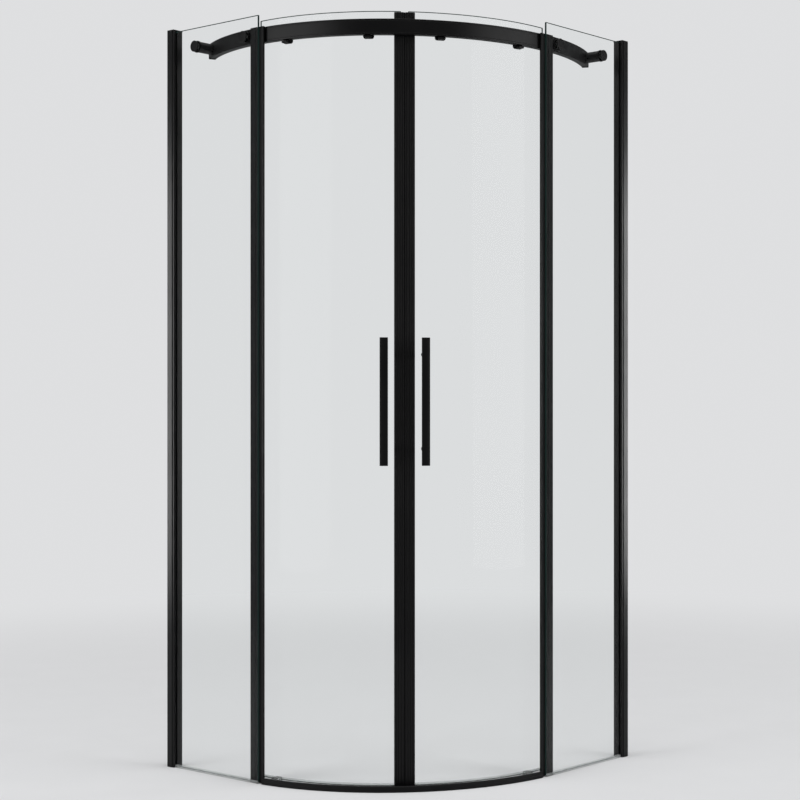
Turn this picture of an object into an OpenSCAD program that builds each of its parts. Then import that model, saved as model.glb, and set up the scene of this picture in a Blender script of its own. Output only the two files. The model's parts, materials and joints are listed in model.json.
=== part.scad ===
// Corner shower enclosure with a curved front.
// Two flat side panes stand against two walls that meet at a right angle. Two curved doors
// hang on rollers in one curved rail and part in the middle, each running behind its side pane.
// The floor is z = 0, the walls are the planes x = -side_w/2 and y = side_w/2.
// The left half is drawn, and the right half is its mirror image in the plane x + y = 0.

/* [Enclosure] */
// Distance from each wall to the outer face of the wall channels
side_w = 900; // [880:5:980]
// Height of the side glass above the floor
glass_top = 2005; // [1900:5:2100]
// Radius of the curved front where it meets the outer face of the side glass
front_r = 564; // [550:2:574]
// Thickness of every pane
glass_t = 6; // [5:0.5:8]
// Set-back of the side glass from the outer face of the wall channels
glass_set = 8; // [7:0.5:9]
// Length of side glass beyond the point where the curve begins
glass_past = 29.5; // [27:0.5:32]

/* [Wall channels] */
// Width of a wall channel along the wall
channel_w = 34; // [28:1:36]
// How far a wall channel stands off the wall
channel_d = 20; // [18:1:26]
// Wall thickness of the channels
channel_t = 1.6; // [1.2:0.1:2]
// How far the glazing profile stands out of the channel
glazing_out = 6; // [4:1:12]
// Diameter of the wall screw holes
wall_hole_d = 5; // [4:0.5:6]
// Distance between neighbouring wall screw holes
wall_hole_pitch = 600; // [500:10:620]

/* [Side panels] */
// Width of the upright profile on the free edge of the side glass
edge_w = 48; // [44:1:52]
// Thickness of that profile
edge_t = 5.5; // [4.5:0.5:6]
// Distance from the wall to the long rail standoff
standoff_pos = 107; // [100:1:120]
// Distance from the edge profile to the middle of the short rail spacer
spacer_pos = 23; // [22:1:40]
// Diameter of the standoffs and spacers
standoff_d = 29; // [24:1:34]

/* [Rail] */
// Distance from the top of the side glass down to the top of the rail
rail_drop = 30; // [24:1:60]
// Height of the rail
rail_h = 40; // [40:1:48]
// Depth of the rail from its outer to its inner face
rail_d = 18; // [17.5:0.5:20]
// Gap between the rail and the side glass at their nearest point
rail_gap = 7; // [7:0.5:9]

/* [Doors] */
// How far the top of the doors is below the top of the side glass
door_drop = 5; // [2:1:10]
// Height of the lower edge of the doors above the floor
door_foot = 9; // [8:0.5:14]
// Angle from the middle of the front to the leading rollers
lead_roller_a = 10; // [8:0.5:12]
// Angle from the middle of the front to the trailing rollers
trail_roller_a = 34.5; // [31:0.5:35]
// Diameter of the roller wheels
wheel_d = 30; // [26:1:32]
// Width of the upright closing profile of each door
closing_w = 24.6; // [20:0.2:26]

/* [Handles] */
// Length of a handle bar
handle_l = 328; // [250:2:400]
// Width of a handle bar
handle_w = 21; // [16:1:24]
// Height of the middle of the handles above the floor
handle_z = 996; // [900:2:1100]
// Distance from the middle of the front to the middle of a handle
handle_pos = 53.4; // [50:0.2:62]
// Room for the fingers between a handle bar and the glass
finger_gap = 30; // [26:1:36]

/* [Threshold] */
// Height of the threshold's outer edge
threshold_h = 16; // [10:0.5:18]
// Width of the threshold strip
threshold_w = 58; // [54:1:64]

/* [Hidden] */
$fn = 96;
// Facets of a preview of the large circles
big_fn = 720;

half = side_w / 2;
y_out = glass_set - half;
y_in = y_out + glass_t;
arc_x = half - glass_set - front_r;
x_edge = arc_x + glass_past;

rail_z1 = glass_top - rail_drop;
rail_z0 = rail_z1 - rail_h;
rail_zm = (rail_z0 + rail_z1) / 2;
rail_t = 3;
rail_lip = 3;
rail_ro = front_r - glass_t - rail_gap;
rail_ri = rail_ro - rail_d;

run_gap = 1;
carriage_t = 6;
door_ro = rail_ri - run_gap - carriage_t;
door_ri = door_ro - glass_t;
door_z1 = glass_top - door_drop;
door_z0 = door_foot;

// Wall channels and what they hold
slide_gap = 0.2;
gasket_t = 1;
gasket_back = 1.5;
pocket_d = 16;
profile_top = glass_top + 3;
cap_t = 2.5;
glazing_x1 = channel_d + glazing_out - half;
glazing_x0 = glazing_x1 - 20;
glazing_y0 = channel_t + slide_gap - half;
glazing_y1 = channel_w - channel_t - half;
gasket_x0 = glazing_x1 - pocket_d;
glass_x0 = gasket_x0 + gasket_back;
chamber_y0 = y_in + gasket_t + 1.6;
chamber_y1 = glazing_y1 - 1.6;
chamber_x1 = glazing_x1 - 2;
wall_hole_z0 = 105;
adjust_x = (glazing_x0 + channel_d - half) / 2;
adjust_d = 4;

// Side glass fixings
foot_seal_h = 3;
leg_h = 5;
leg_t = 1;
edge_out = 13.5;
edge_x1 = x_edge + edge_out;
edge_x0 = edge_x1 - edge_w;
// A fine groove in the face that lies on the glass, where the adhesive ends
edge_line_x = edge_x0 + 20;
edge_line = 1.2;
bolt_d = 8;
grommet_hole_d = 12;
grommet_d = 20;
cap_d = standoff_d + 1;
cap_head_t = 4;
flange_d = standoff_d + 3;
standoff_x = standoff_pos - half;
spacer_x = edge_x0 - spacer_pos;
// How far the cap screws reach into the bodies that they hold
short_reach = 4.5;
long_reach = 14;
function screw_end(x) = y_in + gasket_t + (x == spacer_x ? short_reach : long_reach);

// Rail ends, measured as angles from the start of the curve
standoff_a = asin((standoff_x - arc_x) / rail_ro);
rail_end_a = standoff_a - 2;
stop_t = 12;
stop_drop = 1;
plug_a = 2.1;
buffer_a = 1.1;

// Doors
edge_reach = rail_ri + 11;
soft_gap = 0.4;
glass_start_a = -0.5;
// The body of the rear profile along the curve, and the wider flange that meets the edge seal
rear_w = 8.5;
flange_w = 18;
rear_back = 3;
rear_wall = 2.5;
rear_top = rail_z0 - stop_drop - 3;
fin_t = 3;
// Along the curve from the rear edge of the glass to the middle of the rear profile
rear_mid = rear_w / 2 - rear_back;
seal_root = 4;
edge_groove_x = edge_x0 + 6;
carriage_foot = 7.5;
seal_gap = 2;
// The edge seals end below the feet of the carriages that pass over them
edge_seal_z1 = rail_z0 - carriage_foot - seal_gap;
mid_gap = 0.3;
magnet_t = 1.7;
closing_x0 = door_ri - 8;
closing_x1 = rail_ri - 1.5;
closing_y1 = -(mid_gap + magnet_t);
closing_y0 = closing_y1 - closing_w;
glass_end_y = closing_y1 - 7;
glass_end_a = 45 - asin(-glass_end_y / door_ro);
door_hole_d = 14;
collar_gap = 0.1;
seal_start_a = glass_start_a + asin((rear_w - rear_back) / (door_ri - rear_wall)) + 0.05;
seal_end_a = 45 + asin(closing_y0 / closing_x0) - 0.05;

// Rollers
wheel_gap = 0.2;
wheel_z = rail_z0 + rail_t + wheel_gap + wheel_d / 2;
wheel_x0 = rail_ri + 4;
wheel_x1 = rail_ro - rail_t - 2;
wheel_play = 0.2;
bore_gap = 0.05;
head_t = 1.2;
carriage_w = 28;
carriage_r = 6;
carriage_z0 = rail_z0 - carriage_foot;
carriage_z1 = rail_z1 - 10;
lip_t = 5;
hub_d = 13;

// Handles
handle_a = 45 - asin(handle_pos / (door_ro + finger_gap));
bar_t = 8;
post_d = 12;
post_z = handle_l * 0.37;
fixing_d = 14;

// Threshold
base_t = 2;
threshold_ro = front_r + 2;
threshold_ri = threshold_ro - threshold_w;
threshold_cut = 0.3;
rim_w = 10;
guide_w = 20;
guide_slot = 1.2;
guide_floor = 0.8;
guide_h = door_foot + 5;
// Starts beside the end of the threshold, measured at the inner face of the glass
guide_a = asin((edge_x1 + threshold_cut - arc_x + 2) / door_ri);

// Helpers

module to_right() {
    mirror([1, 1, 0]) children();
}

module both() {
    children();
    to_right() children();
}

// Local x points outwards from the centre of the curve, local y along it
module on_arc(a) {
    translate([arc_x, -arc_x, 0]) rotate([0, 0, a - 90]) children();
}

// Turns a section drawn as (radius, height) from angle a0 to angle a1
module swept(a0, a1) {
    on_arc(a0) rotate_extrude(angle = a1 - a0, $fn = big_fn) children();
}

module ring(r0, r1, z0, z1, a0, a1) {
    swept(a0, a1) translate([r0, z0]) square([r1 - r0, z1 - z0]);
}

module box(x0, x1, y0, y1, z0, z1) {
    translate([x0, y0, z0]) cube([x1 - x0, y1 - y0, z1 - z0]);
}

module upright(z0, z1) {
    translate([0, 0, z0]) linear_extrude(z1 - z0) children();
}

// A round bar along local x
module bar_x(d, x0, x1) {
    translate([x0, 0, 0]) rotate([0, 90, 0]) cylinder(d = d, h = x1 - x0);
}

// A round bar along y through the point (x, z)
module bar_y(x, z, d, y0, y1) {
    translate([x, y0, z]) rotate([-90, 0, 0]) cylinder(d = d, h = y1 - y0);
}

// A drum about a local frame's own origin
module local_drum(r) {
    translate([0, 0, -glass_top]) cylinder(r = r, h = 3 * glass_top, $fn = big_fn);
}

// Fills a hole in the door glass, less a running gap and what the children take away
module collar(hole_d) {
    intersection() {
        difference() {
            bar_x(hole_d - 2 * collar_gap, door_ri - 1, door_ro + 1);
            local_drum(door_ri - 0.02);
            children();
        }
        local_drum(door_ro);
    }
}

// A drum about the centre of the curve
module full_drum(r) {
    on_arc(0) local_drum(r);
}

// Wall channels

module wall_channel() {
    color([0.04, 0.04, 0.045]) difference() {
        box(-half, channel_d - half, -half, channel_w - half, 0, profile_top);
        box(channel_t - half, channel_d - half + 1,
            channel_t - half, channel_w - channel_t - half, -1, profile_top + 1);
        for (i = [0:3])
            translate([-half - 1, channel_w / 2 - half, wall_hole_z0 + i * wall_hole_pitch])
                rotate([0, 90, 0]) cylinder(d = wall_hole_d, h = channel_t + 2);
        adjusting_places() bar_y(adjust_x, 0, adjust_d, glazing_y1 - 1, channel_w - half + 1);
    }
}

module adjusting_places() {
    for (k = [0.1, 0.5, 0.9]) translate([0, 0, glass_top * k]) children();
}

module glazing_profile() {
    color([0.035, 0.035, 0.04]) difference() {
        box(glazing_x0, glazing_x1, glazing_y0, glazing_y1, 0, profile_top);
        box(gasket_x0, glazing_x1 + 1, y_out - gasket_t, y_in + gasket_t, -1, profile_top + 1);
        box(glazing_x0 - 1, chamber_x1, chamber_y0, chamber_y1, -1, profile_top + 1);
        adjusting_places() bar_y(adjust_x, 0, adjust_d, chamber_y1 - 1, glazing_y1 + 1);
    }
}

module glazing_gasket() {
    color([0.02, 0.02, 0.02]) difference() {
        box(gasket_x0, glazing_x1 - 1, y_out - gasket_t, y_in + gasket_t, 0, glass_top);
        box(glass_x0, glazing_x1, y_out, y_in, -1, glass_top + 1);
    }
}

module profile_cap() {
    color([0.03, 0.03, 0.03]) union() {
        upright(profile_top, profile_top + cap_t)
            polygon([[-half, -half], [glazing_x1 - 1, -half], [glazing_x1, 1 - half],
                     [glazing_x1, channel_w - half - 1], [glazing_x1 - 1, channel_w - half],
                     [-half, channel_w - half]]);
        box(glazing_x0 + 0.5, chamber_x1 - 0.5, chamber_y0 + 0.2, chamber_y1 - 0.2,
            profile_top - 12, profile_top);
    }
}

module adjusting_screws_one_side() {
    adjusting_places() {
        bar_y(adjust_x, 0, adjust_d, chamber_y1 - 3, channel_w - half);
        bar_y(adjust_x, 0, adjust_d * 2, channel_w - half, channel_w - half + 2.4);
    }
}

module adjusting_screws() {
    color([0.05, 0.05, 0.05]) both() adjusting_screws_one_side();
}

// Side panels

module side_glass() {
    color([0.8, 0.9, 0.88, 0.35]) difference() {
        box(glass_x0, x_edge, y_out, y_in, foot_seal_h, glass_top);
        bar_y(standoff_x, rail_zm, grommet_hole_d, y_out - 1, y_in + 1);
        bar_y(spacer_x, rail_zm, grommet_hole_d, y_out - 1, y_in + 1);
    }
}

module side_bottom_seal() {
    color([0.1, 0.1, 0.1]) union() {
        box(glazing_x1, x_edge, y_out, y_in, 0, foot_seal_h);
        box(glazing_x1, x_edge, y_out - leg_t, y_out, 0, foot_seal_h + leg_h);
        box(glazing_x1, edge_x0, y_in, y_in + leg_t, 0, foot_seal_h + leg_h);
    }
}

module edge_profile() {
    color([0.035, 0.035, 0.04]) difference() {
        upright(0, rail_z1)
            polygon([[edge_x0, y_in], [edge_line_x - edge_line, y_in],
                     [edge_line_x, y_in + edge_line], [edge_line_x + edge_line, y_in],
                     [edge_x1, y_in], [edge_x1, y_in + edge_t - 1],
                     [edge_x1 - 1, y_in + edge_t], [edge_x0 + 1, y_in + edge_t],
                     [edge_x0, y_in + edge_t - 1]]);
        box(edge_groove_x, edge_groove_x + seal_root, y_in + edge_t - 3, y_in + edge_t + 1,
            -1, rail_z1 + 1);
    }
}

module edge_seal() {
    color([0.02, 0.02, 0.02]) difference() {
        union() {
            box(edge_groove_x, edge_groove_x + seal_root, y_in + edge_t - 3, y_in + edge_t,
                door_foot, edge_seal_z1);
            box(edge_groove_x + 1.2, edge_groove_x + seal_root - 1.2, y_in + edge_t,
                y_in + edge_t + 20, door_foot, edge_seal_z1);
        }
        full_drum(edge_reach + soft_gap);
    }
}

// Rail and its fixings

module curved_rail() {
    color([0.05, 0.05, 0.055]) swept(rail_end_a, 90 - rail_end_a) difference() {
        translate([rail_ri, rail_z0]) square([rail_d, rail_h]);
        translate([rail_ri + 2, rail_z0 + rail_t])
            square([rail_d - rail_t - 2, rail_h - 2 * rail_t]);
        translate([rail_ri - 1, rail_z0 + rail_t + rail_lip])
            square([rail_d - rail_t, rail_h - 2 * rail_t - 2 * rail_lip]);
    }
}

module spacer_body(x, flange) {
    difference() {
        union() {
            bar_y(x, rail_zm, standoff_d, y_in + gasket_t, 0);
            bar_y(x, rail_zm, flange, y_in + gasket_t, y_in + gasket_t + 4);
        }
        bar_y(x, rail_zm, bolt_d, y_in, screw_end(x));
        full_drum(rail_ro);
    }
}

module long_standoffs() {
    color([0.04, 0.04, 0.045]) both() spacer_body(standoff_x, flange_d);
}

module short_spacers() {
    color([0.04, 0.04, 0.045]) both() spacer_body(spacer_x, standoff_d);
}

module cap_screw(x) {
    translate([x, y_out - gasket_t, rail_zm]) rotate([90, 0, 0]) {
        cylinder(d = cap_d, h = cap_head_t - 1);
        translate([0, 0, cap_head_t - 1]) cylinder(d1 = cap_d, d2 = cap_d - 2, h = 1);
    }
    bar_y(x, rail_zm, bolt_d, y_out - gasket_t, screw_end(x));
}

module cap_screws() {
    color([0.04, 0.04, 0.045]) both() for (x = [standoff_x, spacer_x]) cap_screw(x);
}

module grommet(x) {
    difference() {
        union() {
            bar_y(x, rail_zm, grommet_d, y_out - gasket_t, y_out);
            bar_y(x, rail_zm, grommet_hole_d, y_out, y_in);
            bar_y(x, rail_zm, grommet_d, y_in, y_in + gasket_t);
        }
        bar_y(x, rail_zm, bolt_d, y_out - 5, y_in + 5);
    }
}

module glass_grommets() {
    color([0.5, 0.5, 0.5, 0.7]) both() for (x = [standoff_x, spacer_x]) grommet(x);
}

module rail_end_stop() {
    color([0.03, 0.03, 0.03]) union() {
        on_arc(rail_end_a) difference() {
            box(rail_ri, rail_ro, -stop_t, 0, rail_z0 - stop_drop, rail_z1);
            translate([rail_ri - 1, -stop_t, rail_z0 - stop_drop]) rotate([0, 90, 0])
                cylinder(r = 3, h = rail_d + 2, $fn = 4);
        }
        ring(rail_ri + 2.2, rail_ro - rail_t - 0.2, rail_z0 + rail_t, rail_z1 - rail_t - 0.2,
             rail_end_a - 0.05, rail_end_a + plug_a);
    }
}

module stop_buffers() {
    color([0.02, 0.02, 0.02]) both()
        ring(rail_ri + 4, rail_ro - rail_t - 1, rail_z0 + rail_t + 4, rail_z1 - rail_t - 6,
             rail_end_a + plug_a, rail_end_a + plug_a + buffer_a);
}

// Threshold and door guides

module curved_threshold() {
    color([0.035, 0.035, 0.04]) intersection() {
        swept(0, 90) polygon([
            [threshold_ri, 0], [threshold_ro, 0], [threshold_ro, threshold_h / 2 - 0.6],
            [threshold_ro - 0.8, threshold_h / 2], [threshold_ro, threshold_h / 2 + 0.6],
            [threshold_ro, threshold_h - 1.5], [threshold_ro - 1.5, threshold_h],
            [threshold_ro - rim_w + 1.5, threshold_h], [threshold_ro - rim_w, threshold_h - 1.5],
            [threshold_ro - rim_w - 4, base_t], [threshold_ri + 2, base_t],
            [threshold_ri, base_t / 2]]);
        box(edge_x1 + threshold_cut, half, -half, -edge_x1 - threshold_cut, -1, threshold_h + 1);
    }
}

module door_guide() {
    color([0.03, 0.03, 0.03]) on_arc(guide_a) difference() {
        union() {
            box(door_ri - 8, door_ro + 10, 0, guide_w, base_t, guide_h - 3);
            box(door_ri - 7, door_ro + 9, 1, guide_w - 1, guide_h - 3, guide_h);
        }
        translate([0, 0, base_t + guide_floor]) rotate([0, 0, -5])
            rotate_extrude(angle = 15, $fn = big_fn)
                translate([door_ri - guide_slot, 0]) square([glass_t + 2 * guide_slot, guide_h]);
    }
}

// Doors

module door_holes() {
    for (a = [45 - lead_roller_a, 45 - trail_roller_a])
        on_arc(a) translate([0, 0, wheel_z]) bar_x(door_hole_d, door_ri - 2, door_ro + 2);
    for (s = [-1, 1])
        on_arc(handle_a) translate([0, 0, handle_z + s * post_z])
            bar_x(grommet_hole_d, door_ri - 2, door_ro + 2);
}

module door_glass() {
    color([0.8, 0.9, 0.88, 0.35]) difference() {
        ring(door_ri, door_ro, door_z0, door_z1, glass_start_a, glass_end_a);
        door_holes();
    }
}

// The glass as a plain curved sheet, to cut the pockets that hold it
module pane() {
    ring(door_ri, door_ro, door_z0 - 1, door_z1 + 1, glass_start_a, glass_end_a);
}

module closing_profile() {
    color([0.035, 0.035, 0.04]) difference() {
        on_arc(45) upright(door_z0, door_z1 - 4)
            polygon([[closing_x0 + 1.5, closing_y0], [closing_x1 - 2, closing_y0],
                     [closing_x1, closing_y0 + 2], [closing_x1, closing_y0 + closing_w / 2 - 1],
                     [closing_x1 - 0.9, closing_y0 + closing_w / 2],
                     [closing_x1, closing_y0 + closing_w / 2 + 1],
                     [closing_x1, closing_y1 - 1.2], [closing_x1 - 1.2, closing_y1],
                     [door_ro - 1, closing_y1], [door_ro - 1, closing_y1 - 3],
                     [door_ri + 1, closing_y1 - 3], [door_ri + 1, closing_y1],
                     [closing_x0 + 1.5, closing_y1], [closing_x0, closing_y1 - 1.5],
                     [closing_x0, closing_y0 + 1.5]]);
        pane();
    }
}

module magnet_strip() {
    color([0.02, 0.02, 0.02]) on_arc(45) union() {
        box(door_ri - 4.5, door_ro + 2.5, closing_y1, -mid_gap, door_z0, door_z1 - 4);
        box(door_ri + 1, door_ro - 1, closing_y1 - 3, closing_y1, door_z0, door_z1 - 4);
    }
}

module rear_profile() {
    color([0.035, 0.035, 0.04]) difference() {
        intersection() {
            on_arc(glass_start_a) upright(door_z0, rear_top)
                polygon([[door_ri - rear_wall + 1, -rear_back], [door_ro + rear_wall - 1, -rear_back],
                         [door_ro + rear_wall, 1 - rear_back],
                         [door_ro + rear_wall, rear_mid - fin_t / 2],
                         [edge_reach - fin_t, rear_mid - fin_t / 2],
                         [edge_reach - fin_t, -rear_back], [edge_reach + 1, -rear_back],
                         [edge_reach + 1, flange_w - rear_back],
                         [edge_reach - fin_t, flange_w - rear_back],
                         [edge_reach - fin_t, rear_mid + fin_t / 2],
                         [door_ro + rear_wall, rear_mid + fin_t / 2],
                         [door_ro + rear_wall, rear_w - rear_back],
                         [door_ri - rear_wall, rear_w - rear_back],
                         [door_ri - rear_wall, 1 - rear_back]]);
            full_drum(edge_reach);
        }
        pane();
    }
}

module door_bottom_seal() {
    color([0.1, 0.1, 0.1]) difference() {
        swept(seal_start_a, seal_end_a)
            polygon([[door_ri - 0.8, door_z0 + 6], [door_ri - 0.8, door_z0 - 4],
                     [door_ri + 1, door_z0 - 5], [door_ro + 0.8, door_z0 - 3],
                     [door_ro + 0.8, door_z0 + 6]]);
        ring(door_ri, door_ro, door_z0, door_z1, glass_start_a, glass_end_a);
    }
}

// Rollers

module carriage() {
    difference() {
        union() {
            box(door_ro - 1, rail_ri - run_gap, -carriage_w / 2, carriage_w / 2,
                carriage_z0 + carriage_r, carriage_z1);
            box(door_ro - 1, rail_ri - run_gap, carriage_r - carriage_w / 2,
                carriage_w / 2 - carriage_r, carriage_z0, carriage_z0 + carriage_r);
            for (s = [-1, 1])
                translate([0, s * (carriage_w / 2 - carriage_r), carriage_z0 + carriage_r])
                    bar_x(2 * carriage_r, door_ro - 1, rail_ri - run_gap);
            box(rail_ri - run_gap, rail_ro - 4, carriage_r - carriage_w / 2,
                carriage_w / 2 - carriage_r, carriage_z0, carriage_z0 + lip_t);
            translate([0, 0, wheel_z]) bar_x(hub_d, rail_ri - run_gap, wheel_x0 - wheel_play);
        }
        translate([0, 0, wheel_z]) bar_x(bolt_d, door_ro - 2, rail_ro);
        local_drum(door_ro);
    }
}

module roller_carriages() {
    color([0.03, 0.03, 0.03])
        for (a = [45 - lead_roller_a, 45 - trail_roller_a]) on_arc(a) carriage();
}

module roller_bolts() {
    color([0.55, 0.56, 0.58])
        for (a = [45 - lead_roller_a, 45 - trail_roller_a])
            on_arc(a) translate([0, 0, wheel_z]) {
                bar_x(bolt_d, door_ri - 5, wheel_x1 + wheel_play);
                bar_x(bolt_d + 4, wheel_x1 + wheel_play, wheel_x1 + wheel_play + head_t);
            }
}

module roller_cap() {
    difference() {
        union() {
            bar_x(24, door_ri - 9, door_ri + 1);
            bar_x(22, door_ri - 10, door_ri - 9);
        }
        bar_x(bolt_d, door_ri - 5, door_ro + 5);
        difference() {
            local_drum(door_ro + 10);
            local_drum(door_ri);
        }
    }
    collar(door_hole_d) bar_x(bolt_d, door_ri - 5, door_ro + 5);
}

module roller_caps() {
    color([0.03, 0.03, 0.03])
        for (a = [45 - lead_roller_a, 45 - trail_roller_a])
            on_arc(a) translate([0, 0, wheel_z]) roller_cap();
}

module wheel(a) {
    color([0.75, 0.75, 0.73]) on_arc(a) translate([0, 0, wheel_z]) difference() {
        union() {
            bar_x(wheel_d, wheel_x0 + 1, wheel_x1 - 1);
            bar_x(wheel_d - 2, wheel_x0, wheel_x1);
        }
        bar_x(bolt_d + 2 * bore_gap, wheel_x0 - 1, wheel_x1 + 1);
    }
}

// Handles

module handle() {
    color([0.03, 0.03, 0.03]) difference() {
        on_arc(handle_a) union() {
            upright(handle_z - handle_l / 2, handle_z + handle_l / 2)
                polygon([[door_ro + finger_gap, 1 - handle_w / 2],
                         [door_ro + finger_gap + 1, -handle_w / 2],
                         [door_ro + finger_gap + bar_t - 1, -handle_w / 2],
                         [door_ro + finger_gap + bar_t, 1 - handle_w / 2],
                         [door_ro + finger_gap + bar_t, handle_w / 2 - 1],
                         [door_ro + finger_gap + bar_t - 1, handle_w / 2],
                         [door_ro + finger_gap + 1, handle_w / 2],
                         [door_ro + finger_gap, handle_w / 2 - 1]]);
            for (s = [-1, 1]) translate([0, 0, handle_z + s * post_z])
                bar_x(post_d, door_ro - 1, door_ro + finger_gap + 1);
        }
        full_drum(door_ro);
        for (s = [-1, 1]) on_arc(handle_a) translate([0, 0, handle_z + s * post_z])
            bar_x(6, door_ro - 2, door_ro + 12);
    }
}

module handle_fixing() {
    intersection() {
        union() {
            bar_x(fixing_d, door_ri - 4, door_ri + 1);
            bar_x(fixing_d - 2, door_ri - 5, door_ri - 4);
        }
        local_drum(door_ri);
    }
    bar_x(6, door_ri - 1, door_ro + 12);
    collar(grommet_hole_d);
}

module handle_fixings() {
    color([0.04, 0.04, 0.045])
        for (s = [-1, 1]) on_arc(handle_a) translate([0, 0, handle_z + s * post_z])
            handle_fixing();
}

wall_channel();  // wall_channel_left
to_right() wall_channel();  // wall_channel_right
glazing_profile();  // glazing_profile_left
to_right() glazing_profile();  // glazing_profile_right
profile_cap();  // profile_cap_left
to_right() profile_cap();  // profile_cap_right
glazing_gasket();  // glazing_gasket_left
to_right() glazing_gasket();  // glazing_gasket_right
side_glass();  // side_glass_left
to_right() side_glass();  // side_glass_right
side_bottom_seal();  // side_bottom_seal_left
to_right() side_bottom_seal();  // side_bottom_seal_right
edge_profile();  // edge_profile_left
to_right() edge_profile();  // edge_profile_right
edge_seal();  // edge_seal_left
to_right() edge_seal();  // edge_seal_right
adjusting_screws();
curved_rail();
long_standoffs();
short_spacers();
cap_screws();
glass_grommets();
rail_end_stop();  // rail_end_stop_left
to_right() rail_end_stop();  // rail_end_stop_right
stop_buffers();
curved_threshold();
door_guide();  // door_guide_left
to_right() door_guide();  // door_guide_right
door_glass();  // door_glass_left
to_right() door_glass();  // door_glass_right
closing_profile();  // closing_profile_left
to_right() closing_profile();  // closing_profile_right
magnet_strip();  // magnet_strip_left
to_right() magnet_strip();  // magnet_strip_right
rear_profile();  // rear_profile_left
to_right() rear_profile();  // rear_profile_right
door_bottom_seal();  // door_bottom_seal_left
to_right() door_bottom_seal();  // door_bottom_seal_right
roller_carriages();  // roller_carriages_left
to_right() roller_carriages();  // roller_carriages_right
roller_bolts();  // roller_bolts_left
to_right() roller_bolts();  // roller_bolts_right
roller_caps();  // roller_caps_left
to_right() roller_caps();  // roller_caps_right
wheel(45 - trail_roller_a);  // wheel_left_trailing
wheel(45 - lead_roller_a);  // wheel_left_leading
to_right() wheel(45 - trail_roller_a);  // wheel_right_trailing
to_right() wheel(45 - lead_roller_a);  // wheel_right_leading
handle();  // handle_left
to_right() handle();  // handle_right
handle_fixings();  // handle_fixings_left
to_right() handle_fixings();  // handle_fixings_right
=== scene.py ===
"""Corner shower enclosure with a curved front: the finished look of each piece.

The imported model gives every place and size. The left half of each pair is made first, and
its twin is the mirror image in the plane x + y = 0. Sections are drawn in millimetres.
"""

import json
import math

import bmesh
import bpy
from bpy.props import FloatProperty, FloatVectorProperty, IntProperty, PointerProperty
from mathutils import Matrix, Vector


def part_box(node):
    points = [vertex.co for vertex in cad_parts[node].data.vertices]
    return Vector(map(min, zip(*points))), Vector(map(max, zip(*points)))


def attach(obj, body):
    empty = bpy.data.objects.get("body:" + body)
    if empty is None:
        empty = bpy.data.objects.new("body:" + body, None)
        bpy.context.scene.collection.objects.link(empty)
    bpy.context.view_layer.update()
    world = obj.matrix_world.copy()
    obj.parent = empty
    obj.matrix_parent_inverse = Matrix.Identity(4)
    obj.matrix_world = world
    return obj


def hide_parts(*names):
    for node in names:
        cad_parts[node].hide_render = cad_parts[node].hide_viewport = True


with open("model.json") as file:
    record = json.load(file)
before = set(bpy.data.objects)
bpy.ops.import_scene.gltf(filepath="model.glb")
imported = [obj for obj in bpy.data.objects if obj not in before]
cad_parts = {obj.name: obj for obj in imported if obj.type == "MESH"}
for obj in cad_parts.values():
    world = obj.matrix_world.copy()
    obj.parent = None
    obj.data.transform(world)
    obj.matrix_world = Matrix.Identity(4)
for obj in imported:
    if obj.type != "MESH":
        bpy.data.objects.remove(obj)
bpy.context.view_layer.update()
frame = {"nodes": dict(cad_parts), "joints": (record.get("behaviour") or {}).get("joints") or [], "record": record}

bl_info = {
    "name": "Corner Shower Enclosure",
    "version": (1, 0, 0),
    "blender": (4, 5, 0),
    "location": "View3D > Sidebar > Shower",
    "description": "Builds the glass, profiles, rollers and handles of a curved shower enclosure",
    "category": "Object",
}

MM = 0.001
BODY_OF = {
    node: body
    for body, nodes in frame["record"]["behaviour"]["bodies"].items()
    for node in nodes
}
MIRROR = Matrix(((0, -1, 0, 0), (-1, 0, 0, 0), (0, 0, 1, 0), (0, 0, 0, 1)))


def spans(node):
    """The height of a CAD node's lowest and of its highest point."""
    return [corner.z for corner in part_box(node)]


# Thickness of the wall profiles, and the handles' inner radius and distance from the middle,
# in millimetres
WALL_THICK, HANDLE_RI, HANDLE_ASIDE = 1.6, 556, 53.4

# The centre of the curve, and the radii round it, in metres
CENTRE = Vector(frame["joints"][0]["pos_m"][:2])
RAIL_DEPTH, RAIL_GAP, PANE_THICK = 18 * MM, 7 * MM, 6 * MM
RAIL_RO = round(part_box("curved_rail")[1].x - CENTRE.x, 4)
RAIL_RI = RAIL_RO - RAIL_DEPTH
PANE_RO = RAIL_RI - RAIL_GAP
PANE_RI = PANE_RO - PANE_THICK

# Heights and places across, in metres
RAIL_Z0, RAIL_Z1 = spans("curved_rail")
RAIL_Z = (RAIL_Z0 + RAIL_Z1) / 2
WHEEL_Z = sum(spans("wheel_left_leading")) / 2
PANE_Z0, PANE_Z1 = spans("door_glass_left")
WALL_SCREWS_Z = (0.105, 0.705, 1.305, 1.905)
ADJUSTERS_X, ADJUSTERS_Z = -0.437, (0.2005, 1.0025, 1.8045)
FIXINGS_X = (-0.343, -0.15)
POSTS_Z = (0.996 - 0.12136, 0.996 + 0.12136)

# Angles along the curve, from its left end, in degrees
RAIL_END = math.degrees(math.asin((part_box("curved_rail")[0].x - CENTRE.x) / RAIL_RO))
PANE_START = -0.5
PANE_END = 45 - math.degrees(math.asin(9 * MM / PANE_RO))
SEAL_START, SEAL_END = 0.16, 41.97
LEADING, TRAILING = 35, 10.5
HANDLE_AT = 45 - math.degrees(math.asin(HANDLE_ASIDE / HANDLE_RI))


def number(name, description, default, **limits):
    return FloatProperty(name=name, description=description, default=default, **limits)


def length(name, description, default, low, high):
    """A size whose values are given in millimetres."""
    return number(
        name, description, default * MM, min=low * MM, max=high * MM, unit="LENGTH")


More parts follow.
